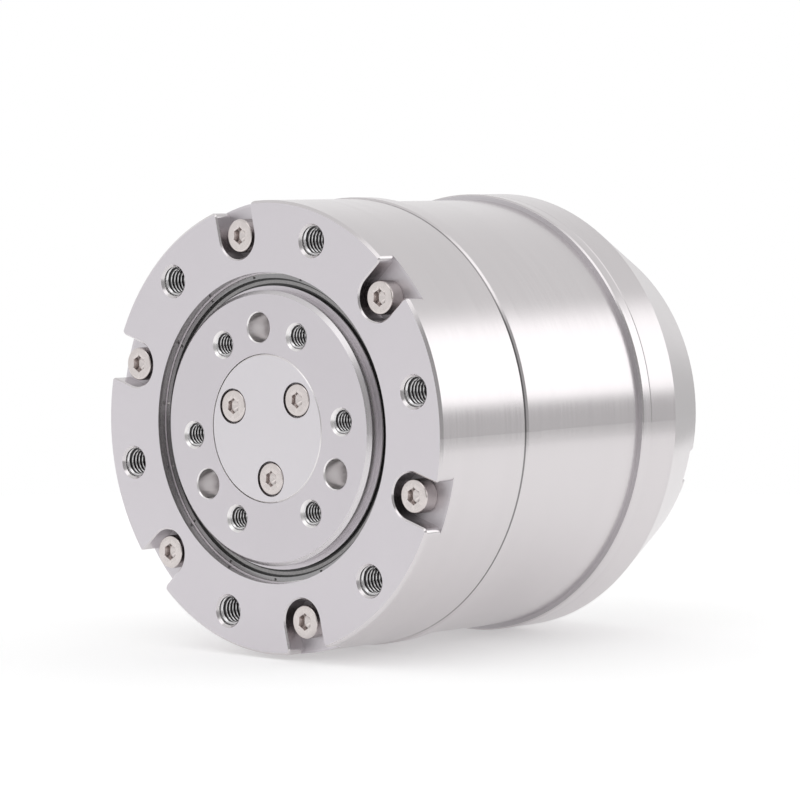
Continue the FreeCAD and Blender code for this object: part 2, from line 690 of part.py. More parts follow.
def carrier_plate():
    """Rear plate of the planet carrier, with a boss for the carrier bearing."""
    boss_r = CARRIER_BEARING[0] / 2 - PRESS
    shoulder_r = CARRIER_BEARING[0] / 2 + BEARING_LIP
    bore_r = MODULE * SUN_TEETH / 2 + MODULE * ADDENDUM + FREE
    boss_back = carrier_bearing_back - FREE
    body = turned([
        (bore_r, carrier_plate_front), (CARRIER_D / 2, carrier_plate_front),
        (CARRIER_D / 2, carrier_plate_back), (shoulder_r, carrier_plate_back),
        (shoulder_r, bulkhead_front), (boss_r, bulkhead_front), (boss_r, boss_back),
        (bore_r, boss_back),
    ])
    half_step = 180.0 / PLANET_COUNT
    hole = rod(M3_LOW[0] + 2 * SCREW_CLEARANCE, carrier_plate_front, carrier_plate_back)
    sink_d = M3_LOW[1] + 2 * HEAD_CLEARANCE
    sink = rod(sink_d, carrier_plate_back - M3_LOW[2], carrier_plate_back)
    tools = pattern(hole.fuse(sink), POST_RADIUS, PLANET_COUNT, PLANET_ANGLE + half_step)
    pin_hole = rod(PIN_D + 2 * PRESS, carrier_plate_front, carrier_plate_back)
    tools += pattern(pin_hole, PLANET_RADIUS, PLANET_COUNT, PLANET_ANGLE)
    return body.cut(tools)


def planet_pins():
    pin = rod(PIN_D, carrier_face - PIN_SEAT, carrier_plate_back - FACE_GAP)
    return group(pattern(pin, PLANET_RADIUS, PLANET_COUNT, PLANET_ANGLE))


def thrust_washers():
    bore_d = PIN_D + 2 * RUNNING
    washers = []
    for start in (carrier_face + FACE_GAP, gear_back + FACE_GAP):
        washer = tube(WASHER_D, bore_d, start, start + WASHER_T)
        washers += pattern(washer, PLANET_RADIUS, PLANET_COUNT, PLANET_ANGLE)
    return group(washers)


parts["output_flange"] = output_flange()
parts["cover_plate"] = cover_plate()
parts["cover_plate_screws"] = group(pattern(
    screw(M3_LOW, flange_front + COVER_SCREW_SINK, cover_screw_length()),
    COVER_SCREW_PCD / 2, COVER_SCREW_COUNT, COVER_SCREW_ANGLE))
parts["carrier_plate"] = carrier_plate()
carrier_seat = carrier_plate_back - M3_LOW[2]
parts["carrier_screws"] = group(pattern(
    screw(M3_LOW, carrier_seat, carrier_seat - carrier_face - FREE, False),
    POST_RADIUS, PLANET_COUNT, PLANET_ANGLE + 180.0 / PLANET_COUNT))
parts["planet_pins"] = planet_pins()
parts["planet_thrust_washers"] = thrust_washers()


# ---- ball bearings --------------------------------------------------------------------

def ball_bearing(name, size, start):
    """Sealed deep-groove bearing: an outer ring with its seals, and an inner ring."""
    bore_d, outer_d, width = size
    middle = (bore_d + outer_d) / 2
    land = (outer_d - bore_d) / 6
    parts[name + "_outer_ring"] = tube(outer_d, middle + 2 * RUNNING, start, start + width)
    parts[name + "_inner_ring"] = tube(middle - land / 4, bore_d, start, start + width)


ball_bearing("nose_bearing", NOSE_BEARING, nose_bearing_front)
ball_bearing("carrier_bearing", CARRIER_BEARING, bulkhead_front)
ball_bearing("motor_front_bearing", SHAFT_BEARING, shaft_bearing_front)
ball_bearing("motor_rear_bearing", NOSE_BEARING, rear_bearing_front)


# ---- motor ----------------------------------------------------------------------------

def motor_housing():
    """Middle housing, waisted between two rims: a tube with a bulkhead that carries two bearings."""
    waist = WAIST_D / 2
    front_rim = MOTOR_RIM_D / 2
    rear_rim = CAP_D / 2
    relief_front = waist_front + FRONT_RIM_L
    relief_back = waist_back - REAR_RIM_L
    bore = STATOR_D / 2 + PRESS
    spigot = RING_GEAR_D / 2
    spigot_bore = RING_PITCH_D / 2 + 2 * MODULE
    carrier_seat_r = CARRIER_BEARING[1] / 2 + PRESS
    shaft_seat_r = SHAFT_BEARING[1] / 2 + PRESS
    web_r = SHAFT_BEARING[1] / 2 - BEARING_LIP
    boss_r = shaft_seat_r + BEARING_BOSS_T
    shoulder = STATOR_D / 2 - STATOR_SHOULDER
    body = turned([
        (spigot, ring_gear_back), (spigot, waist_front), (front_rim - JOINT_CHAMFER, waist_front),
        (front_rim, waist_front + JOINT_CHAMFER), (front_rim, relief_front - RIM_CHAMFER),
        (front_rim - RIM_CHAMFER, relief_front), (waist, relief_front), (waist, relief_back),
        (rear_rim - RIM_CHAMFER, relief_back), (rear_rim, relief_back + RIM_CHAMFER),
        (rear_rim, waist_back), (bore, waist_back),
        (bore, stator_front), (shoulder, stator_front), (shoulder, bulkhead_back),
        (boss_r, bulkhead_back), (boss_r, shaft_bearing_back), (shaft_seat_r, shaft_bearing_back),
        (shaft_seat_r, shaft_bearing_front), (web_r, shaft_bearing_front),
        (web_r, carrier_bearing_back), (carrier_seat_r, carrier_bearing_back),
        (carrier_seat_r, bulkhead_front), (spigot_bore, bulkhead_front), (spigot_bore, ring_gear_back),
    ])
    depth = POCKET_DEPTH + CAP_SCREW_L + FREE
    tools = pattern(rod(M3_CAP[0] + 2 * PRESS, waist_front, depth),
                    FRONT_PCD / 2, FRONT_COUNT, CAP_SCREW_ANGLE)
    screw_end = plate_back - PLATE_SCREW_L - SCREW_END_GAP
    tools += pattern(rod(M2_CAP[0] + 2 * PRESS, screw_end, waist_back),
                     plate_screw_radius(), PLATE_SCREW_COUNT, CAP_SCREW_ANGLE)
    return body.cut(tools)


def cap_bore():
    return CAP_D / 2 - CAP_WALL


def plate_screw_radius():
    """The rear plate's screws stand in the motor housing's wall, with their heads inside the cap."""
    return cap_bore() - HEAD_CLEARANCE - M2_CAP[1] / 2


def stator_core():
    outer_r = STATOR_D / 2
    bore_r = STATOR_BORE_D / 2
    slot_r = outer_r - BACK_IRON
    yoke = tube(2 * outer_r, 2 * slot_r, stator_front, stator_back)
    tip_span = 360.0 / STATOR_TEETH - math.degrees(SLOT_OPENING / bore_r)
    tip = sector(bore_r, bore_r + TOOTH_TIP, tip_span, stator_front, stator_back)
    leg_h = slot_r - bore_r
    leg = block(TOOTH_W, leg_h, stator_front, stator_back, bore_r + leg_h / 2 + TOOTH_TIP / 2)
    return yoke.fuse(ring_of(tip.fuse(leg), STATOR_TEETH))


def stator_coils():
    """One wound coil round each tooth."""
    inner_w = TOOTH_W + 2 * COIL_PLAY
    half_w = inner_w / 2 + COIL_T
    low = STATOR_BORE_D / 2 + TOOTH_TIP + COIL_PLAY
    high = math.sqrt((STATOR_D / 2 - BACK_IRON) ** 2 - half_w ** 2) - COIL_PLAY
    middle = (low + high) / 2
    outer = block(2 * half_w, high - low, stator_front - COIL_OVERHANG,
                  stator_back + COIL_OVERHANG, middle)
    corners = [edge for edge in outer.Edges if is_radial(edge)]
    outer = outer.makeFillet(COIL_CORNER_R, corners)
    window = block(inner_w, 2 * (high - low), stator_front - COIL_PLAY, stator_back + COIL_PLAY, middle)
    return group(ring_of(outer.cut(window), STATOR_TEETH))


def is_radial(edge):
    """True for an edge that runs along Z."""
    first, last = edge.Vertexes[0].Point, edge.Vertexes[-1].Point
    return abs(first.x - last.x) < 1e-6 and abs(first.y - last.y) < 1e-6


def rotor():
    magnet_out = STATOR_BORE_D / 2 - AIR_GAP
    yoke_out = magnet_out - MAGNET_T
    yoke_in = yoke_out - YOKE_T
    rim_in = yoke_in - HUB_RIM_T
    shaft_r = SHAFT_BEARING[0] / 2
    sleeve_r = shaft_r + HUB_SLEEVE_T
    magnet = sector(yoke_out + PRESS, magnet_out, MAGNET_SPAN_ANGLE, rotor_front, rotor_back)
    parts["rotor_magnets"] = group(ring_of(magnet, MAGNET_COUNT))
    parts["rotor_yoke"] = tube(2 * yoke_out, 2 * yoke_in, rotor_front, rotor_back)
    web_front = (rotor_front + rotor_back - HUB_WEB_T) / 2
    web_back = web_front + HUB_WEB_T
    sleeve_front = shaft_bearing_back + FREE
    hub = turned([
        (shaft_r, sleeve_front), (sleeve_r, sleeve_front), (sleeve_r, web_front), (rim_in, web_front),
        (rim_in, rotor_front), (yoke_in - PRESS, rotor_front), (yoke_in - PRESS, rotor_back),
        (rim_in, rotor_back), (rim_in, web_back), (sleeve_r, web_back), (sleeve_r, rotor_back),
        (shaft_r, rotor_back),
    ])
    holes = pattern(rod(HUB_HOLE_D, web_front, web_back), (sleeve_r + rim_in) / 2, HUB_HOLES, 0)
    parts["rotor_hub"] = hub.cut(holes)


parts["motor_housing"] = motor_housing()
parts["stator_core"] = stator_core()
parts["stator_coils"] = stator_coils()
rotor()


# ---- rear end -------------------------------------------------------------------------

def rear_plate():
    """Plate that carries the rotor's rear bearing and closes the motor."""
    spigot = STATOR_D / 2
    spigot_bore = spigot - STATOR_SHOULDER
    seat_r = NOSE_BEARING[1] / 2 + PRESS
    lip_r = NOSE_BEARING[1] / 2 - BEARING_LIP
    boss_r = seat_r + BEARING_BOSS_T
    body = turned([
        (boss_r, rear_bearing_front), (boss_r, plate_front), (spigot_bore, plate_front),
        (spigot_bore, plate_front - PLATE_SPIGOT_L), (spigot, plate_front - PLATE_SPIGOT_L),
        (spigot, plate_front), (cap_bore() - PRESS, plate_front), (cap_bore() - PRESS, plate_back),
        (lip_r, plate_back), (lip_r, rear_bearing_back), (seat_r, rear_bearing_back),
        (seat_r, rear_bearing_front),
    ])
    tools = pattern(rod(M2_CAP[0] + 2 * SCREW_CLEARANCE, plate_front - PLATE_SPIGOT_L, plate_back),
                    plate_screw_radius(), PLATE_SCREW_COUNT, CAP_SCREW_ANGLE)
    tools += pattern(rod(M3_LOW[0] + 2 * PRESS, plate_front, plate_back),
                     STANDOFF_RADIUS, STANDOFF_COUNT, STANDOFF_ANGLE)
    tools += lead_rods(LEAD_HOLE_D, plate_front, plate_back)
    return body.cut(tools)


def lead_rods(diameter, start, end):
    """Straight motor leads, one behind each of three coils."""
    radius = (STATOR_BORE_D + STATOR_D) / 4
    lead = rod(diameter, start, end)
    return [placed(lead, radius, LEAD_ANGLE + LEAD_STEP_ANGLE * index) for index in range(LEAD_COUNT)]


def rear_cap():
    """Rear shell: a cylinder, then a cone that ends in a rim round the cover."""
    rim = CAP_D / 2
    rear = CAP_REAR_D / 2
    bore = cap_bore()
    cover_r = REAR_COVER_D / 2 + PRESS
    lip_front = rear_cover_front - COVER_LIP
    lip_outer = cover_r + COVER_LIP
    body = turned([
        (bore, plate_front), (rim - CAP_CHAMFER, plate_front), (rim, plate_front + CAP_CHAMFER),
        (rim, cap_straight),
        (rear, cap_back - EDGE_CHAMFER), (rear - EDGE_CHAMFER, cap_back), (cover_r, cap_back),
        (cover_r, rear_cover_front), (cover_r - COVER_LIP, rear_cover_front),
        (cover_r - COVER_LIP, lip_front), (lip_outer, lip_front), (bore, cap_straight - CAP_TAPER_LEAD),
    ])
    notch = block(CABLE_NOTCH_W, 2 * rear, rear_cover_back, cap_back, rear)
    return body.cut(turn_to(notch, CABLE_ANGLE))


def connector(name, size, radius, contacts, contact_d):
    """Board connector that reaches through the rear cover, and its row of contacts."""
    width, height = size
    mouth = rear_cover_back - FREE
    floor = board_back + CONNECTOR_FLOOR
    body = block(width, height, board_back, mouth, radius)
    inside_w = width - 2 * CONNECTOR_WALL
    inside_h = height - 2 * CONNECTOR_WALL
    socket = block(inside_w, inside_h, floor, mouth, radius)
    pitch = inside_w / contacts
    pins = []
    holes = []
    for index in range(contacts):
        shift = FreeCAD.Vector(pitch * (index - (contacts - 1) / 2), 0, radius)
        pin = rod(contact_d, board_front, mouth - 2 * FREE)
        hole = rod(contact_d, board_back, floor)
        pin.translate(shift)
        hole.translate(shift)
        pins.append(pin)
        holes.append(hole)
    parts[name] = turn_to(body.cut([socket] + holes), CABLE_ANGLE)
    parts[name + "_contacts"] = turn_to(group(pins), CABLE_ANGLE)
    return pins


power_pins = connector("power_connector", (POWER_W, POWER_H), POWER_RADIUS,
                       POWER_CONTACTS, POWER_CONTACT_D)
signal_pins = connector("signal_connector", (SIGNAL_W, SIGNAL_H), SIGNAL_RADIUS,
                        SIGNAL_CONTACTS, SIGNAL_CONTACT_D)


def driver_board():
    body = rod(2 * (cap_bore() - BOARD_EDGE), board_front, board_back)
    tools = [turn_to(pin, CABLE_ANGLE) for pin in power_pins + signal_pins]
    tools += pattern(rod(M3_LOW[0] + 2 * SCREW_CLEARANCE, board_front, board_back),
                     STANDOFF_RADIUS, STANDOFF_COUNT, STANDOFF_ANGLE)
    tools += lead_rods(LEAD_D, board_front, board_back)
    return body.cut(tools)


def driver_components():
    """Power switches, a processor and two capacitors on the board's rear side."""
    chips = []
    switch = block(SWITCH_W, SWITCH_H, board_back, board_back + SWITCH_T, SWITCH_RADIUS)
    for index in range(SWITCH_COUNT):
        chips.append(turn_to(switch, SWITCH_ANGLE + SWITCH_STEP_ANGLE * index))
    chips.append(block(PROCESSOR_W, PROCESSOR_W, board_back, board_back + PROCESSOR_T))
    capacitor = rod(CAPACITOR_D, board_back, board_back + CAPACITOR_L)
    for spread in (CAPACITOR_ANGLE, -CAPACITOR_ANGLE):
        chips.append(placed(capacitor, CAPACITOR_RADIUS, CABLE_ANGLE + spread))
    return group(chips)


def cover_standoffs():
    """Standoffs behind the board, with a stud that goes through it into the rear plate."""
    post = rod(STANDOFF_D, board_back, rear_cover_front)
    stud = rod(M3_LOW[0], plate_front + FREE, board_back)
    tapped = rod(M3_LOW[0] + 2 * PRESS, board_back + BOARD_T, rear_cover_front)
    return group(pattern(post.fuse(stud).cut(tapped), STANDOFF_RADIUS, STANDOFF_COUNT, STANDOFF_ANGLE))


def rear_cover():
    body = rod(REAR_COVER_D, rear_cover_front, rear_cover_back)
    sink = rod(M3_LOW[1] + 2 * HEAD_CLEARANCE, rear_cover_back - M3_LOW[2], rear_cover_back)
    hole = rod(M3_LOW[0] + 2 * SCREW_CLEARANCE, rear_cover_front, rear_cover_back)
    tools = pattern(sink.fuse(hole), STANDOFF_RADIUS, STANDOFF_COUNT, STANDOFF_ANGLE)
    sockets = ((POWER_W, POWER_H, POWER_RADIUS), (SIGNAL_W, SIGNAL_H, SIGNAL_RADIUS))
    for width, height, radius in sockets:
        window = block(width + 2 * SCREW_CLEARANCE, height + 2 * SCREW_CLEARANCE,
                       rear_cover_front, rear_cover_back, radius)
        tools.append(turn_to(window, CABLE_ANGLE))
    return body.cut(tools)


parts["rear_plate"] = rear_plate()
parts["rear_plate_screws"] = group(pattern(
    screw(M2_CAP, plate_back, PLATE_SCREW_L, False),
    plate_screw_radius(), PLATE_SCREW_COUNT, CAP_SCREW_ANGLE))
parts["rear_cap"] = rear_cap()
parts["rear_cover"] = rear_cover()
parts["rear_cover_screws"] = group(pattern(
    screw(M3_LOW, rear_cover_back - M3_LOW[2], REAR_COVER_SCREW_L, False),
    STANDOFF_RADIUS, STANDOFF_COUNT, STANDOFF_ANGLE))
parts["board_spacers"] = group(pattern(
    tube(STANDOFF_D, M3_LOW[0] + 2 * SCREW_CLEARANCE, plate_back, board_front),
    STANDOFF_RADIUS, STANDOFF_COUNT, STANDOFF_ANGLE))
parts["cover_standoffs"] = cover_standoffs()
parts["driver_board"] = driver_board()
parts["driver_components"] = driver_components()
parts["phase_leads"] = group(lead_rods(LEAD_D, stator_back + COIL_OVERHANG, board_back))
encoder_magnet_back = shaft_back + ENCODER_MAGNET_L
parts["encoder_magnet"] = rod(NOSE_BEARING[0], shaft_back, encoder_magnet_back)
parts["encoder_chip"] = block(ENCODER_CHIP_W, ENCODER_CHIP_W,
                              encoder_magnet_back + ENCODER_GAP, board_front)


# ---- files ----------------------------------------------------------------------------

os.makedirs("parts", exist_ok=True)
for node, shape in parts.items():
    shape.exportStep("parts/%s.step" % node)
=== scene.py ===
"""Planetary servo actuator of a robot joint: its finishes, threads, screws and studio.

The axis is Y, the output faces -Y and +Z is up. An angle round the axis is measured from +Z,
clockwise as seen from the front.
"""
import json
import math

import bmesh
import bpy
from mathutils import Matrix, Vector


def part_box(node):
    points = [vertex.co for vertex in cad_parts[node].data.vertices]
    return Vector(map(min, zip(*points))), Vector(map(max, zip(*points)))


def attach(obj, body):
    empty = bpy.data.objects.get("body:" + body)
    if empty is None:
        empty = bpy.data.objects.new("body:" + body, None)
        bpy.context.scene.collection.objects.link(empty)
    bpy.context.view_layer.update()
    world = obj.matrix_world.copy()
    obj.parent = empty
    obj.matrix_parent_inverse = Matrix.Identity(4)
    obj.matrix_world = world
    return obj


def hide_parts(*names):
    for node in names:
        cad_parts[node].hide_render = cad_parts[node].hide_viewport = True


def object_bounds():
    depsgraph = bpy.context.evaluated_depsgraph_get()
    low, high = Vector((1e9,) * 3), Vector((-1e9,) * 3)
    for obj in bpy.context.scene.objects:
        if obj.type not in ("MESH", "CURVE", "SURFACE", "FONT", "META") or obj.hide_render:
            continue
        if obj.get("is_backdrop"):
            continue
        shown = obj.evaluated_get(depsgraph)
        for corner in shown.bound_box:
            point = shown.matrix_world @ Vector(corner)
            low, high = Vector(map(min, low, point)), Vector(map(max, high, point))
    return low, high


bpy.ops.wm.read_factory_settings(use_empty=True)
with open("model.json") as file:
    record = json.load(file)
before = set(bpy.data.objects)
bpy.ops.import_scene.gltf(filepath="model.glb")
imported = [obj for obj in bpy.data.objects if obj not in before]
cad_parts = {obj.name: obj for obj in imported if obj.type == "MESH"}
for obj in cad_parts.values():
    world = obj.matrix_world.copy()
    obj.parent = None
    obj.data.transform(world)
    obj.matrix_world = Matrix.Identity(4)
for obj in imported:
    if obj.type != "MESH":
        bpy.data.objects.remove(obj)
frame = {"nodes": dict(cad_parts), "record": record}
cad_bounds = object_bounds()

MM = 0.001
ROOT_SHARE = "root_share"

# ---- sizes, in millimetres and degrees --------------------------------------------------

MOUNTS = {mount["name"]: mount for mount in frame["record"]["mounts"]}
FRONT_THREAD_ANGLE = 17.0
FRONT_THREAD_DEPTH = 10.0
FRONT_THREAD_PITCH = 0.8
FRONT_THREAD_MOUTH = 0.8        # the thread's sleeve starts this far behind the face
OUTPUT_THREAD_ANGLE = 23.7
OUTPUT_THREAD_DEPTH = 7.0
OUTPUT_THREAD_PITCH = 0.7
OUTPUT_THREAD_MOUTH = 0.35
THREAD_SIDES = 48
THREAD_STEPS = 12               # rows of the sleeve in one pitch
THREAD_CREST = 0.125            # flats of a thread, as shares of its pitch
THREAD_ROOT = 0.25
THREAD_RUN_IN = 0.6             # length of the first, shallow turn, in pitches
THREAD_HEIGHT = 0.54            # depth of a metric thread, in pitches
THREAD_PLAY = 0.01              # between a thread's sleeve and its hole

# places where a finish changes, and how softly
POCKET_RADII = (29.3, 37.8)
POCKET_SOFT = 0.2
POCKET_STATIONS = (0.35, 8.0)
POCKET_MOUTH_SOFT = 0.1
# painted shade in the screw pockets: its share falls from SHADE[0] to SHADE[1] across these radii
SHADE_RADII = (31.5, 35.0)      # the pockets' shade fades between these
SHADE = (0.6, 0.072)
# painted shade: a dark line where the two housings meet
JOINT_STATIONS = (21.1, 21.5)
JOINT_SOFT = 0.06
BORE_RADII = (5.0, 22.0)
BORE_SOFT = 0.2
# the seal's grey body; inside and outside it the seal is painted near black as shade of the gaps
SEAL_BODY_RADII = (24.3, 24.85)
SEAL_SOFT = 0.08

# screws: shank, head diameter, head height, hexagon across flats, hexagon depth, shank length
M3_CAP = (3.0, 5.68, 3.0, 2.5, 1.4, 25.0)
M3_LOW = (3.0, 5.5, 2.0, 2.3, 1.0, 6.0)
SCREW_PITCH = 0.5
SCREW_SIDES = 72
HEXAGON_CHAMFER = 0.08
HEXAGON_MOUTH = 1.02            # over the hexagon's corners
DRILL_TIP = 0.6                 # depth over radius of the drilled bottom under a hexagon
DRILL_POINT_R = 0.02
DRILL_ROUNDING = 0.1            # share of the bottom's depth and width left to the hexagon
HEAD_EDGE = ((0.0, 0.36), (0.05, 0.2), (0.17, 0.07), (0.34, 0.015))  # below the top, off the rim
KNURL_SPAN = (0.46, 0.3)        # below the top and above the seat
KNURL_DEPTH = 0.08
HEAD_FOOT = ((0.2, 0.06), (0.0, 0.2))   # above the seat, inside the rim
PLAIN_SHANK = 0.6
SHANK_PLAY = 0.02
SHANK_TIP = 0.4
HOUSING_SCREWS = (66.0, 6, 47.0)    # bolt circle, count, first angle
COVER_SCREWS = (17.0, 3, 53.7)
REAR_COVER_SCREWS = (44.0, 4, 62.0)

# meshes
MERGE_DISTANCE = 1e-7
SHARP_ANGLE = 32

# table, in metres
FLOOR_R = 0.3
FLOOR_SIDES = 96
FLOOR_Y = 0.035
FLOOR_GAP = 0.0002
FLOOR_TONE = 0.86
FLOOR_GLOW = 0.3

# studio: azimuth from -Y towards +X and elevation, in degrees, and brightness, where 1 is white
REAR_SOFTBOX = ((110, 166), (6.5, 31.5), 1.62)
TOP_SOFTBOX = ((-10, 52), (43, 66), 1.5)
CAMERA_SIDE = ((27, 72), (-8, 38), 0.4)
RIGHT_HORIZON = ((62, 181), (-7, 4.5), 0.62)
LEFT_HORIZON = ((-181, -140), (-7, 4.5), 0.66)
AZIMUTH_SOFT = 4.0
ELEVATION_SOFT = 1.5
WALLS_LEVEL = 0.96
CEILING_LEVEL = 0.82
CEILING_RISE = (18, 42)

# camera
AZIMUTH = 41.35
ELEVATION = 3.66
DISTANCE = 681.4
LENS = 175.1
SENSOR_W = 36.0
CLIP_START = 0.01
TARGET = Vector((-2.65, 36.23, 2.91))

# finish patterns: cycles per metre, and the parts of a noise's span that a ramp uses
LATHE_LINES = 2600.0
LATHE_BANDS = 260.0
GROUND_LINES = 4000.0
BLAST_GRAIN = 5200.0
MOULD_GRAIN = 4200.0
RUBBER_GRAIN = 3800.0
CHATTER_MARKS = 3600.0
FACE_CLOUDS = 70.0
GROUND_CLOUDS = 320.0
OIL_FILM = 240.0
SHEETS = 1000.0
SHEET_DUST = 900.0
WIRES = 620.0
WIRE_SHADE = 500.0
BOARD_CELLS = 420.0
BOARD_SPECKS = 2600.0
LINE_SHARE = 0.35               # height of the lathe's lines over the height of the grain
ACROSS_LINES = 0.25             # a quarter turn: the lathe's lines draw highlights out across them
FACE_SPAN = (0.86, 0.97)        # how square to the axis a face is
WIDE = (0.2, 0.8)
MIDDLE = (0.25, 0.75)
NARROW = (0.3, 0.7)
UPPER = (0.4, 0.8)

# heights of relief, in metres
TURNED_RELIEF = 1.2e-6
GROUND_RELIEF = 0.8e-6
STEEL_RELIEF = 1.0e-6
CHATTER_RELIEF = 1.5e-6
SHEET_RELIEF = 20e-6
WIRE_RELIEF = 80e-6
MOULD_RELIEF = 6e-6
RUBBER_RELIEF = 3e-6
TRACK_RELIEF = 30e-6

# ---- node graphs ------------------------------------------------------------------------


class Graph:
    """Adds nodes to a material's or the world's tree. Sockets and plain values go in alike."""

    def __init__(self, tree):
        self.tree = tree
        tree.nodes.clear()

    def put(self, socket, value):
        if isinstance(value, bpy.types.NodeSocket):
            self.tree.links.new(value, socket)
        else:
            socket.default_value = value

    def node(self, kind, inputs=(), **settings):
        made = self.tree.nodes.new(kind)
        for name, value in settings.items():
            setattr(made, name, value)
        for key, value in dict(inputs).items():
            self.put(made.inputs[key], value)
        return made

    def math(self, operation, a, b=0.0, clamp=False):
        made = self.node("ShaderNodeMath", {0: a, 1: b}, operation=operation, use_clamp=clamp)
        return made.outputs[0]

    def ramp(self, value, low, high, out_low=0.0, out_high=1.0):
        inputs = {"Value": value, "From Min": low, "From Max": high,
                  "To Min": out_low, "To Max": out_high}
        made = self.node("ShaderNodeMapRange", inputs, interpolation_type="SMOOTHSTEP")
        return made.outputs["Result"]

    def mix(self, share, a, b):
        made = self.node("ShaderNodeMix", {"Factor": share, 6: a, 7: b}, data_type="RGBA")
        return made.outputs[2]

    def blend(self, share, a, b):
        """Number between a and b."""
        return self.node("ShaderNodeMix", {"Factor": share, 2: a, 3: b}).outputs[0]

    def band(self, value, low, high, soft):
        """1 between low and high, with soft edges half outside them."""
        rise = self.ramp(value, low - soft / 2, low + soft / 2)
        fall = self.ramp(value, high - soft / 2, high + soft / 2, 1.0, 0.0)
        return self.math("MULTIPLY", rise, fall)

    def zone(self, value, span, soft):
        """Like band, for a place in metres and limits in millimetres."""
        low, high = span
        return self.band(value, low * MM, high * MM, soft * MM)

    def noise(self, vector, scale, detail=2.0, roughness=0.5):
        inputs = {"Vector": vector, "Scale": scale, "Detail": detail, "Roughness": roughness}
        return self.node("ShaderNodeTexNoise", inputs).outputs["Fac"]

    def combine(self, x=0.0, y=0.0, z=0.0):
        return self.node("ShaderNodeCombineXYZ", {0: x, 1: y, 2: z}).outputs[0]

    def bump(self, height, depth, strength=1.0):
        inputs = {"Height": height, "Distance": depth, "Strength": strength}
        return self.node("ShaderNodeBump", inputs).outputs[0]


def colour(red, green, blue):
    return (red, green, blue, 1.0)


# painted light: a lighter colour for the walls of drilled holes; REAMED_ROUGHNESS is their real
# finish
BORE_PAINTED_LIGHT = colour(0.86, 0.84, 0.84)
REAMED_ROUGHNESS = 0.3
# painted shade: near-black colour laid round the heads in the screw pockets
POCKET_PAINTED_SHADE = colour(0.03, 0.026, 0.026)
# painted shade of the gap at the joint between the housings
JOINT_PAINTED_SHADE = 0.36               # share of the wall's brightness


def scaled(rgb, share):
    return colour(*(min(1.0, part * share) for part in rgb[:3]))


def new_material(name):
    material = bpy.data.materials.new(name)
    material.use_nodes = True
    return material, Graph(material.node_tree)


def finish_material(graph, inputs, metallic=1.0):
    shader = graph.node("ShaderNodeBsdfPrincipled", inputs)
    shader.inputs["Metallic"].default_value = metallic
    graph.node("ShaderNodeOutputMaterial", {"Surface": shader.outputs[0]})
    return shader


def cylinder_coordinates(graph):
    """The place on the object as sockets: radius, angle and station, in metres and radians."""
    place = graph.node("ShaderNodeTexCoord").outputs["Object"]
    parts = graph.node("ShaderNodeSeparateXYZ", {0: place}).outputs
    flat = graph.combine(parts[0], 0.0, parts[2])
    radius = graph.node("ShaderNodeVectorMath", {0: flat}, operation="LENGTH").outputs["Value"]
    angle = graph.math("ARCTAN2", parts[0], parts[2])
    return place, radius, angle, parts[1]


def face_mask(graph):
    """1 on faces square to the axis and 0 on turned walls, chamfers and cones."""
    normal = graph.node("ShaderNodeNewGeometry").outputs["Normal"]
    along = graph.node("ShaderNodeVectorMath", {0: normal, 1: (0, 1, 0)}, operation="DOT_PRODUCT")
    return graph.ramp(graph.math("ABSOLUTE", along.outputs["Value"]), *FACE_SPAN)


def lathe_noise(graph, coordinates, density, along, detail, roughness):
    """Noise drawn out round the axis, like the marks of a lathe."""
    radius, angle, station = coordinates
    across = graph.combine(graph.math("MULTIPLY", radius, density),
                           graph.math("MULTIPLY", station, density),
                           graph.math("MULTIPLY", angle, along))
    return graph.noise(across, 1.0, detail, roughness)


# ---- finishes ---------------------------------------------------------------------------


def pocket_masks(graph, radius, angle, station):
    """Painted shade round the heads in the housing's screw pockets, and 1 in the holes between
    them.
    """
    turn = graph.math("SUBTRACT", angle, math.radians(HOUSING_SCREWS[2]))
    wave = graph.math("COSINE", graph.math("MULTIPLY", turn, HOUSING_SCREWS[1]))
    pocket = graph.ramp(wave, -0.6, -0.2)
    inside = graph.math("MULTIPLY", graph.zone(radius, POCKET_RADII, POCKET_SOFT),
                        graph.zone(station, POCKET_STATIONS, POCKET_MOUTH_SOFT))
    # the painted shade is strongest near the screws and fades outwards
    fade = graph.ramp(radius, SHADE_RADII[0] * MM, SHADE_RADII[1] * MM, *SHADE)
    shade = graph.math("MULTIPLY", graph.math("MULTIPLY", inside, pocket), fade)
    hole = graph.math("MULTIPLY", inside, graph.math("SUBTRACT", 1.0, pocket))
    return shade, hole


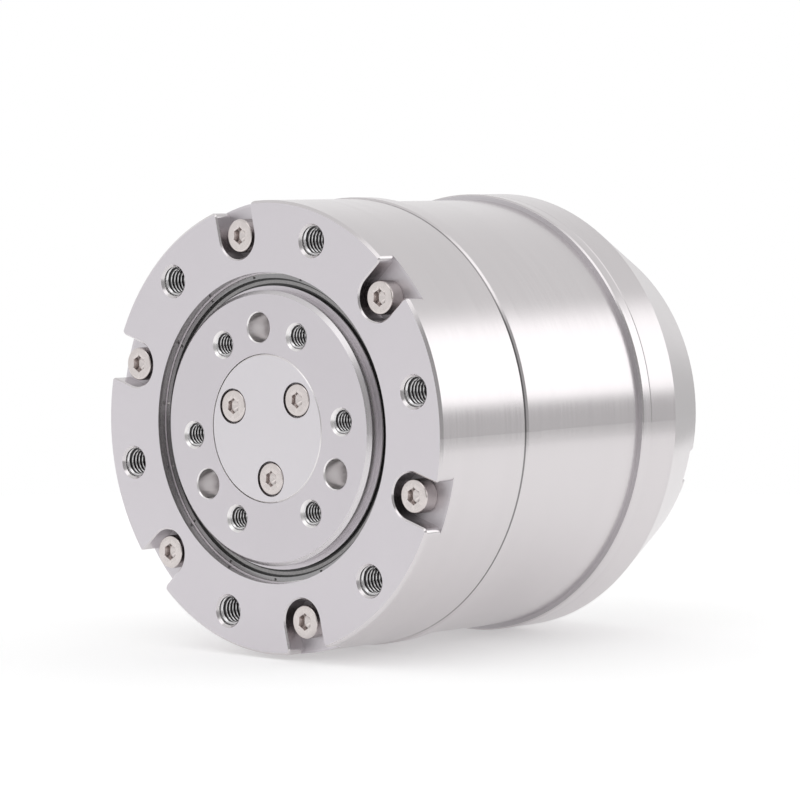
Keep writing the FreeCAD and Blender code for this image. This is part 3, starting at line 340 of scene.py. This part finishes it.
def aluminium(name, wall, face, wall_roughness=0.2, face_roughness=0.4, streak=0.7,
              pockets=False, joint=False, bores=False):
    """Turned aluminium: fine lathe lines on the walls, finely blasted faces.

    pockets lays painted shade round the heads in the screw pockets and painted light in the holes
    between them, joint draws the painted shade of the gap between the two housings as a dark
    line, and bores lays painted light on the walls of the drilled holes.
    """
    material, graph = new_material(name)
    place, radius, angle, station = cylinder_coordinates(graph)
    faces = face_mask(graph)

    lines = lathe_noise(graph, (radius, angle, station), LATHE_LINES, 0.6, 3.0, 0.65)
    bands = lathe_noise(graph, (radius, angle, station), LATHE_BANDS, 0.8, 2.0, 0.5)
    grain = graph.noise(place, BLAST_GRAIN, 2.0, 0.6)
    clouds = graph.noise(place, FACE_CLOUDS, 3.0, 0.55)

    wall_tone = graph.math("ADD", graph.ramp(lines, *MIDDLE, -0.035, 0.035),
                           graph.ramp(bands, *NARROW, -0.02, 0.02))
    face_tone = graph.math("ADD", graph.ramp(grain, *MIDDLE, -0.03, 0.03),
                           graph.ramp(clouds, *NARROW, -0.015, 0.015))
    wall_colour = graph.mix(graph.math("ADD", wall_tone, 0.5), scaled(wall, 0.8), scaled(wall, 1.2))
    face_colour = graph.mix(graph.math("ADD", face_tone, 0.5), scaled(face, 0.8), scaled(face, 1.2))
    base = graph.mix(faces, wall_colour, face_colour)
    wall_rough = graph.ramp(lines, *WIDE, wall_roughness - 0.03, wall_roughness + 0.05)
    face_rough = graph.ramp(grain, *WIDE, face_roughness - 0.04, face_roughness + 0.05)
    rough = graph.blend(faces, wall_rough, face_rough)
    relief = graph.blend(faces, graph.math("MULTIPLY", lines, LINE_SHARE), grain)

    if pockets:
        shade, holes = pocket_masks(graph, radius, angle, station)
        # painted shade round the heads in the screw pockets
        base = graph.mix(shade, base, POCKET_PAINTED_SHADE)
    if joint:
        # painted shade of the gap between the two housings, drawn as a dark line round the axis
        line = graph.zone(station, JOINT_STATIONS, JOINT_SOFT)
        base = graph.mix(line, base, scaled(wall, JOINT_PAINTED_SHADE))
    if bores:
        holes = graph.zone(radius, BORE_RADII, BORE_SOFT)
    if pockets or bores:
        # painted light on the walls of the drilled holes, with the smoother roughness of a reamed
        # bore
        drilled = graph.math("MULTIPLY", holes, graph.math("SUBTRACT", 1.0, faces))
        base = graph.mix(drilled, base, BORE_PAINTED_LIGHT)
        rough = graph.blend(drilled, rough, REAMED_ROUGHNESS)
        relief = graph.blend(drilled, relief, 0.0)

    tangent = graph.node("ShaderNodeTangent", direction_type="RADIAL", axis="Y").outputs[0]
    finish_material(graph, {
        "Base Color": base, "Roughness": rough, "Tangent": tangent,
        "Anisotropic": graph.ramp(faces, 0.0, 1.0, streak, 0.0) if streak else 0.0,
        "Anisotropic Rotation": ACROSS_LINES,
        "Normal": graph.bump(relief, TURNED_RELIEF, 0.6),
    })
    return material


def ground_metal(name, tint, roughness=0.2, scratch=1600.0, edge=0.0):
    """Ground or polished metal with faint marks and slightly uneven tone."""
    material, graph = new_material(name)
    place = graph.node("ShaderNodeTexCoord").outputs["Object"]
    marks = graph.noise(place, scratch, 4.0, 0.7)
    clouds = graph.noise(place, GROUND_CLOUDS, 2.0, 0.5)
    tone = graph.math("ADD", graph.ramp(marks, *MIDDLE, 0.35, 0.6),
                      graph.ramp(clouds, *NARROW, -0.08, 0.08))
    base = graph.mix(tone, scaled(tint, 0.85), scaled(tint, 1.15))
    if edge:
        worn = graph.node("ShaderNodeNewGeometry").outputs["Pointiness"]
        base = graph.mix(graph.ramp(worn, 0.5, 0.62, 0.0, edge), base, scaled(tint, 1.35))
    finish_material(graph, {
        "Base Color": base,
        "Roughness": graph.ramp(marks, *WIDE, roughness - 0.05, roughness + 0.07),
        "Normal": graph.bump(marks, GROUND_RELIEF, 0.5),
    })
    return material


def turned_steel(name, tint, roughness=0.16):
    """Ground rings and gears, with lines round the axis."""
    material, graph = new_material(name)
    place, radius, angle, station = cylinder_coordinates(graph)
    lines = lathe_noise(graph, (radius, angle, station), GROUND_LINES, 1.0, 3.0, 0.6)
    film = graph.noise(place, OIL_FILM, 3.0, 0.5)
    base = graph.mix(graph.ramp(lines, *NARROW), scaled(tint, 0.9), scaled(tint, 1.08))
    base = graph.mix(graph.ramp(film, 0.45, 0.75, 0.0, 0.25), base, scaled(tint, 0.72))
    finish_material(graph, {
        "Base Color": base,
        "Roughness": graph.ramp(film, *NARROW, roughness - 0.04, roughness + 0.08),
        "Normal": graph.bump(lines, STEEL_RELIEF, 0.5),
    })
    return material


def cut_thread(name, tint, roughness=0.2):
    """Cut flanks with painted shade in the roots; the mesh gives the depth below the crest."""
    material, graph = new_material(name)
    place = graph.node("ShaderNodeTexCoord").outputs["Object"]
    depth = graph.node("ShaderNodeAttribute", attribute_name=ROOT_SHARE).outputs["Fac"]
    chatter = graph.noise(place, CHATTER_MARKS, 3.0, 0.6)
    base = graph.mix(graph.ramp(chatter, *MIDDLE), scaled(tint, 0.9), scaled(tint, 1.1))
    # painted shade: the roots darken with their depth below the crest
    base = graph.mix(graph.ramp(depth, 0.05, 0.5), base, scaled(tint, 0.05))
    finish_material(graph, {
        "Base Color": base,
        "Roughness": graph.ramp(chatter, *WIDE, roughness - 0.04, roughness + 0.08),
        "Normal": graph.bump(chatter, CHATTER_RELIEF, 0.5),
    })
    return material


def laminated(name, tint):
    """Stack of electrical sheets, seen as fine lines across the axis."""
    material, graph = new_material(name)
    place = graph.node("ShaderNodeTexCoord").outputs["Object"]
    sheets = graph.node("ShaderNodeTexWave", {"Vector": place, "Scale": SHEETS, "Distortion": 0.4},
                        wave_type="BANDS", bands_direction="Y").outputs["Fac"]
    dust = graph.noise(place, SHEET_DUST, 3.0, 0.6)
    base = graph.mix(sheets, scaled(tint, 0.6), scaled(tint, 1.1))
    base = graph.mix(graph.ramp(dust, *UPPER, 0.0, 0.4), base, scaled(tint, 0.5))
    finish_material(graph, {
        "Base Color": base, "Roughness": graph.ramp(dust, *NARROW, 0.35, 0.55),
        "Normal": graph.bump(sheets, SHEET_RELIEF, 0.6),
    })
    return material


def wound(name, tint):
    """Enamelled copper wire in layers."""
    material, graph = new_material(name)
    place, radius = cylinder_coordinates(graph)[:2]
    across = graph.combine(radius)
    wires = graph.node("ShaderNodeTexWave", {"Vector": across, "Scale": WIRES, "Distortion": 0.3},
                       wave_type="BANDS", bands_direction="X", wave_profile="SIN").outputs["Fac"]
    shade = graph.noise(place, WIRE_SHADE, 3.0, 0.6)
    base = graph.mix(wires, scaled(tint, 0.45), scaled(tint, 1.1))
    base = graph.mix(graph.ramp(shade, *UPPER, 0.0, 0.4), base, scaled(tint, 0.6))
    finish_material(graph, {
        "Base Color": base, "Roughness": graph.ramp(shade, *NARROW, 0.22, 0.4),
        "Normal": graph.bump(wires, WIRE_RELIEF, 0.7),
    })
    return material


def moulded(name, tint, roughness=0.42, flow=900.0):
    """Moulded plastic or resin with a fine eroded texture."""
    material, graph = new_material(name)
    place = graph.node("ShaderNodeTexCoord").outputs["Object"]
    grain = graph.noise(place, MOULD_GRAIN, 3.0, 0.6)
    clouds = graph.noise(place, flow, 2.0, 0.5)
    base = graph.mix(graph.ramp(clouds, *NARROW), scaled(tint, 0.92), scaled(tint, 1.07))
    base = graph.mix(graph.ramp(grain, *UPPER, 0.0, 0.25), base, scaled(tint, 0.8))
    finish_material(graph, {
        "Base Color": base,
        "Roughness": graph.ramp(grain, *WIDE, roughness - 0.06, roughness + 0.1),
        "Normal": graph.bump(grain, MOULD_RELIEF, 0.6),
    }, metallic=0.0)
    return material


def seal_ring(name, tint, roughness=0.26):
    """Grey rubber seal; painted shade of the gaps beside it makes its rims near black."""
    material, graph = new_material(name)
    place, radius = cylinder_coordinates(graph)[:2]
    grain = graph.noise(place, RUBBER_GRAIN, 3.0, 0.6)
    body = graph.zone(radius, SEAL_BODY_RADII, SEAL_SOFT)
    base = graph.mix(graph.ramp(grain, *NARROW), scaled(tint, 0.88), scaled(tint, 1.1))
    # painted shade: near black inside and outside the body, for the gaps beside the seal
    base = graph.mix(body, scaled(tint, 0.06), base)
    finish_material(graph, {
        "Base Color": base,
        "Roughness": graph.ramp(grain, *WIDE, roughness - 0.05, roughness + 0.08),
        "Normal": graph.bump(grain, RUBBER_RELIEF, 0.5),
    }, metallic=0.0)
    return material


def circuit_board(name, mask, copper):
    """Solder mask over the raised lines of copper tracks."""
    material, graph = new_material(name)
    place = graph.node("ShaderNodeTexCoord").outputs["Object"]
    cells = graph.node("ShaderNodeTexVoronoi", {"Vector": place, "Scale": BOARD_CELLS},
                       distance="MANHATTAN", feature="F1")
    tracks = graph.math("PINGPONG", cells.outputs["Distance"], 0.16)
    lines = graph.ramp(tracks, 0.05, 0.08)
    speck = graph.noise(place, BOARD_SPECKS, 2.0, 0.5)
    base = graph.mix(lines, mask, copper)
    base = graph.mix(graph.ramp(speck, *UPPER, 0.0, 0.2), base, scaled(mask, 0.6))
    finish_material(graph, {
        "Base Color": base, "Roughness": graph.ramp(speck, *NARROW, 0.26, 0.4),
        "Normal": graph.bump(lines, TRACK_RELIEF, 0.6),
    }, metallic=0.0)
    return material


FINISHES = {
    "housing_aluminium": aluminium("housing_finish", colour(0.68, 0.65, 0.66),
                                   colour(0.66, 0.63, 0.66), 0.2, 0.42, pockets=True, joint=True),
    "waist_aluminium": aluminium("waist_finish", colour(0.68, 0.65, 0.66),
                                 colour(0.63, 0.61, 0.63), 0.2, 0.42, joint=True),
    "cap_aluminium": aluminium("cap_finish", colour(0.67, 0.64, 0.65),
                               colour(0.63, 0.61, 0.63), 0.21, 0.42),
    "flange_aluminium": aluminium("flange_finish", colour(0.67, 0.645, 0.66),
                                  colour(0.63, 0.6, 0.63), 0.26, 0.4, streak=0.0, bores=True),
    "cover_aluminium": aluminium("cover_finish", colour(0.68, 0.67, 0.68),
                                 colour(0.69, 0.665, 0.692), 0.42, 0.38, streak=0.0, bores=True),
    "plate_aluminium": aluminium("plate_finish", colour(0.64, 0.63, 0.64),
                                 colour(0.6, 0.59, 0.6), 0.24, 0.4),
    "screw_steel": ground_metal("screw_finish", colour(0.63, 0.583, 0.57), 0.2, edge=0.8),
    "bearing_steel": turned_steel("bearing_finish", colour(0.6, 0.59, 0.58)),
    "seal_rubber": seal_ring("seal_finish", colour(0.42, 0.41, 0.41)),
    "spring_steel": ground_metal("spring_finish", colour(0.3, 0.295, 0.3), 0.2),
    "gear_steel": turned_steel("gear_finish", colour(0.5, 0.5, 0.51), 0.24),
    "bush_bronze": ground_metal("bush_finish", colour(0.6, 0.37, 0.16), 0.28),
    "core_steel": laminated("core_finish", colour(0.4, 0.41, 0.43)),
    "winding_copper": wound("winding_finish", colour(0.75, 0.27, 0.1)),
    "magnet_nickel": ground_metal("magnet_finish", colour(0.66, 0.62, 0.56), 0.14),
    "board_green": circuit_board("board_finish", colour(0.01, 0.09, 0.045),
                                 colour(0.03, 0.2, 0.08)),
    "chip_black": moulded("chip_finish", colour(0.018, 0.018, 0.02)),
    "connector_yellow": moulded("power_socket_finish", colour(0.83, 0.55, 0.05), 0.36),
    "connector_white": moulded("signal_socket_finish", colour(0.78, 0.77, 0.72), 0.4),
    "contact_gold": ground_metal("contact_finish", colour(0.86, 0.62, 0.26), 0.16),
    "standoff_brass": ground_metal("standoff_finish", colour(0.72, 0.53, 0.26), 0.24),
}


THREAD_FINISH = cut_thread("thread_finish", colour(0.76, 0.75, 0.76))


def dress_nodes():
    """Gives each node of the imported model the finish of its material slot."""
    for node in frame["nodes"].values():
        for place in node.material_slots:
            slot_name = place.material.name.split(".")[0]
            place.material = FINISHES[slot_name]


# ---- threads ----------------------------------------------------------------------------


def add_piece(name, mesh_tool, body, slot_name, finish=None):
    """Makes an object from a bmesh, smooth but for its edges, riding on a body."""
    bmesh.ops.remove_doubles(mesh_tool, verts=mesh_tool.verts, dist=MERGE_DISTANCE)
    bmesh.ops.recalc_face_normals(mesh_tool, faces=mesh_tool.faces)
    mesh = bpy.data.meshes.new(name)
    mesh_tool.to_mesh(mesh)
    mesh_tool.free()
    mesh.polygons.foreach_set("use_smooth", [True] * len(mesh.polygons))
    mesh.set_sharp_from_angle(angle=math.radians(SHARP_ANGLE))
    piece = bpy.data.objects.new(name, mesh)
    bpy.context.scene.collection.objects.link(piece)
    mesh.materials.append(finish or FINISHES[slot_name])
    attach(piece, body)
    return piece


def grid_faces(tool, rows, closed_rows=False):
    """Quads between neighbouring rows of vertices; each row is a closed loop."""
    pairs = list(zip(rows, rows[1:]))
    if closed_rows:
        pairs.append((rows[-1], rows[0]))
    for lower, upper in pairs:
        count = len(lower)
        for index in range(count):
            follow = (index + 1) % count
            tool.faces.new((lower[index], lower[follow], upper[follow], upper[index]))


def thread_depth(phase):
    """Depth of a V thread from its crest, as a share, at a phase of 0 to 1 along the pitch."""
    phase = phase % 1.0
    flank = (1.0 - THREAD_CREST - THREAD_ROOT) / 2
    if phase < THREAD_CREST:
        return 0.0
    if phase < THREAD_CREST + flank:
        return (phase - THREAD_CREST) / flank
    if phase < THREAD_CREST + flank + THREAD_ROOT:
        return 1.0
    return 1.0 - (phase - THREAD_CREST - flank - THREAD_ROOT) / flank


def thread_sleeve(tool, hole_r, pitch, start, end, centre):
    """Internal thread as a thin sleeve that fills a plain hole of the thread's full size."""
    sides = THREAD_SIDES
    share_layer = tool.verts.layers.float[ROOT_SHARE]
    crest_r = hole_r - THREAD_HEIGHT * pitch
    outer_r = hole_r - THREAD_PLAY
    root_r = outer_r - THREAD_PLAY
    count = int(round((end - start) / pitch * THREAD_STEPS))
    rows = []
    for row in range(count + 1):
        along = row / count * (end - start)
        fade = min(1.0, along / (THREAD_RUN_IN * pitch))
        ring = []
        for side in range(sides):
            turn = 2 * math.pi * side / sides
            share = thread_depth(along / pitch + side / sides)
            lead = root_r + (crest_r - root_r) * fade
            radius = lead + (root_r - lead) * share
            corner = tool.verts.new((
                (centre.x + radius * math.sin(turn)) * MM,
                (start + along) * MM,
                (centre.z + radius * math.cos(turn)) * MM))
            corner[share_layer] = share * fade
            ring.append(corner)
        rows.append(ring)
    for station in (end, start):
        rows.append([tool.verts.new((
            (centre.x + outer_r * math.sin(2 * math.pi * side / sides)) * MM, station * MM,
            (centre.z + outer_r * math.cos(2 * math.pi * side / sides)) * MM))
            for side in range(sides)])
    grid_faces(tool, rows, closed_rows=True)


def circle_places(pcd, count, first):
    """Centres on a bolt circle."""
    for index in range(count):
        turn = math.radians(first + 360.0 * index / count)
        yield Vector((pcd / 2 * math.sin(turn), 0, pcd / 2 * math.cos(turn)))


def mounting_threads(name, mount_name, body, slot_name, angle, pitch, mouth, depth):
    mount = MOUNTS[mount_name]
    sizes = mount["dims"]
    front = mount["pos_m"][1] / MM
    tool = bmesh.new()
    tool.verts.layers.float.new(ROOT_SHARE)
    for centre in circle_places(sizes["pcd_mm"], sizes["count"], angle):
        thread_sleeve(tool, sizes["hole_r_mm"], pitch, front + mouth, front + depth, centre)
    return add_piece(name, tool, body, slot_name, THREAD_FINISH)


# ---- screws -----------------------------------------------------------------------------


def hexagon_radius(flats, turn):
    """Distance from the centre of a hexagon to its side, at an angle."""
    sector = math.radians(60)
    return flats / 2 / math.cos(turn % sector - sector / 2)


def screw_rows(kind):
    """Outline of a socket screw, as (height above the seat, radius by angle and index).

    It runs from the bottom of the hexagon over the head's knurled side to the end of the shank.
    """
    shank_d, head_d, head_h, flats, depth, length = kind
    shank_r, head_r = shank_d / 2, head_d / 2
    mouth = flats / 2 / math.cos(math.radians(30)) * HEXAGON_MOUTH
    tip = DRILL_TIP * flats / 2
    knurl_top, knurl_foot = KNURL_SPAN

    def plain(radius):
        return lambda turn, index: radius

    def knurled(radius):
        return lambda turn, index: radius - KNURL_DEPTH * (index % 2)

    def hexagon(turn, index):
        return hexagon_radius(flats, turn)

    yield head_h - depth - tip, plain(DRILL_POINT_R)
    yield head_h - depth - tip * DRILL_ROUNDING, plain(flats / 2 * (1 - DRILL_ROUNDING))
    yield head_h - depth, hexagon
    yield head_h - HEXAGON_CHAMFER, hexagon
    yield head_h, plain(mouth)
    for below, inside in HEAD_EDGE:
        yield head_h - below, plain(head_r - inside)
    yield head_h - knurl_top, knurled(head_r)
    yield knurl_foot, knurled(head_r)
    for above, inside in HEAD_FOOT:
        yield above, plain(head_r - inside)
    yield 0.0, plain(shank_r)
    yield -PLAIN_SHANK, plain(shank_r)
    along = PLAIN_SHANK
    while along < length - SCREW_PITCH:
        yield -(along + SCREW_PITCH / 2), plain(shank_r - THREAD_HEIGHT * SCREW_PITCH)
        along += SCREW_PITCH
        yield -along, plain(shank_r - SHANK_PLAY)
    yield -length, plain(shank_r - SHANK_TIP)


def add_screws(name, node, body, kind, seat, places, facing):
    """Detailed socket screws in place of a CAD node; facing is -1 for heads that look forward."""
    tool = bmesh.new()
    for centre in places:
        rows = []
        for height, radius_at in screw_rows(kind):
            row = []
            for index in range(SCREW_SIDES):
                turn = 2 * math.pi * index / SCREW_SIDES
                radius = radius_at(turn, index)
                row.append(tool.verts.new(((centre.x + radius * math.sin(turn)) * MM,
                                           (seat + facing * height) * MM,
                                           (centre.z + radius * math.cos(turn)) * MM)))
            rows.append(row)
        grid_faces(tool, rows)
        tool.faces.new(rows[0])
        tool.faces.new(rows[-1])
    piece = add_piece(name, tool, body, "screw_steel")
    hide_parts(node)
    return piece


def seat_station(node, kind, facing):
    """Where the heads' undersides are, worked out from the node's box."""
    low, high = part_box(node)
    head_h = kind[2]
    return low.y / MM + head_h if facing < 0 else high.y / MM - head_h


def socket_screws(name, node, body, kind, pcd, count, first, facing=-1):
    seat = seat_station(node, kind, facing)
    return add_screws(name, node, body, kind, seat, circle_places(pcd, count, first), facing)


# ---- studio -----------------------------------------------------------------------------


def add_camera():
    azimuth, elevation = math.radians(AZIMUTH), math.radians(ELEVATION)
    back = Vector((math.sin(azimuth) * math.cos(elevation),
                   -math.cos(azimuth) * math.cos(elevation), math.sin(elevation)))
    data = bpy.data.cameras.new("camera")
    data.lens = LENS
    data.sensor_width = SENSOR_W
    data.clip_start = CLIP_START
    camera = bpy.data.objects.new("camera", data)
    camera.location = (TARGET + back * DISTANCE) * MM
    camera.rotation_mode = "QUATERNION"
    camera.rotation_quaternion = (-back).to_track_quat("-Z", "Y")
    bpy.context.scene.collection.objects.link(camera)
    bpy.context.scene.camera = camera


def add_floor():
    """Pale table top under the object, white to the camera, that keeps the object's shadow."""
    low = cad_bounds[0].z
    tool = bmesh.new()
    bmesh.ops.create_circle(tool, cap_ends=True, segments=FLOOR_SIDES, radius=FLOOR_R)
    mesh = bpy.data.meshes.new("floor")
    tool.to_mesh(mesh)
    tool.free()
    floor = bpy.data.objects.new("floor", mesh)
    floor.location = (0, FLOOR_Y, low - FLOOR_GAP)
    bpy.context.scene.collection.objects.link(floor)
    material, graph = new_material("floor_finish")
    path = graph.node("ShaderNodeLightPath").outputs
    seen = graph.math("MAXIMUM", path["Is Camera Ray"], path["Is Glossy Ray"])
    seen = graph.math("MAXIMUM", seen, path["Is Transmission Ray"])
    tone = colour(FLOOR_TONE, FLOOR_TONE, FLOOR_TONE)
    matte = graph.node("ShaderNodeBsdfDiffuse", {"Color": tone})
    glow = graph.node("ShaderNodeEmission", {"Strength": graph.math("MULTIPLY", seen, FLOOR_GLOW)})
    both = graph.node("ShaderNodeAddShader", {0: matte.outputs[0], 1: glow.outputs[0]})
    graph.node("ShaderNodeOutputMaterial", {"Surface": both.outputs[0]})
    mesh.materials.append(material)
    floor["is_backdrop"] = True


def add_world():
    """White studio whose softboxes, dark camera side and horizon the metal shows."""
    world = bpy.data.worlds.new("studio")
    bpy.context.scene.world = world
    world.use_nodes = True
    graph = Graph(world.node_tree)
    direction = graph.node("ShaderNodeTexCoord").outputs["Generated"]
    x, y, z = graph.node("ShaderNodeSeparateXYZ", {0: direction}).outputs
    turn = graph.math("ARCTAN2", x, graph.math("MULTIPLY", y, -1.0))
    azimuth = graph.math("MULTIPLY", turn, math.degrees(1))
    elevation = graph.math("MULTIPLY", graph.math("ARCSINE", z), math.degrees(1))

    level = graph.ramp(elevation, *CEILING_RISE, WALLS_LEVEL, CEILING_LEVEL)
    for patch in (RIGHT_HORIZON, LEFT_HORIZON, REAR_SOFTBOX, TOP_SOFTBOX, CAMERA_SIDE):
        sides, heights, brightness = patch
        inside = graph.math("MULTIPLY", graph.band(azimuth, *sides, AZIMUTH_SOFT),
                            graph.band(elevation, *heights, ELEVATION_SOFT))
        level = graph.blend(inside, level, brightness)
    path = graph.node("ShaderNodeLightPath").outputs
    level = graph.blend(path["Is Camera Ray"], level, 1.0)
    back = graph.node("ShaderNodeBackground", {"Color": colour(1, 1, 1), "Strength": level})
    graph.node("ShaderNodeOutputWorld", {"Surface": back.outputs[0]})


dress_nodes()
mounting_threads("front_threads", "front_mounting_holes", "housing", "housing_aluminium",
                 FRONT_THREAD_ANGLE, FRONT_THREAD_PITCH, FRONT_THREAD_MOUTH, FRONT_THREAD_DEPTH)
mounting_threads("output_threads", "output_holes", "output", "flange_aluminium",
                 OUTPUT_THREAD_ANGLE, OUTPUT_THREAD_PITCH, OUTPUT_THREAD_MOUTH,
                 OUTPUT_THREAD_DEPTH)
socket_screws("housing_cap_screws", "housing_screws", "housing", M3_CAP, *HOUSING_SCREWS)
socket_screws("cover_low_screws", "cover_plate_screws", "output", M3_LOW, *COVER_SCREWS)
socket_screws("rear_low_screws", "rear_cover_screws", "housing", M3_LOW, *REAR_COVER_SCREWS,
              facing=1)

add_camera()
add_floor()
add_world()
bpy.context.scene.view_settings.view_transform = "Standard"

boxes = {"cad": cad_bounds, "visual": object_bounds()}
{key: [list(corner) for corner in box] for key, box in boxes.items()}
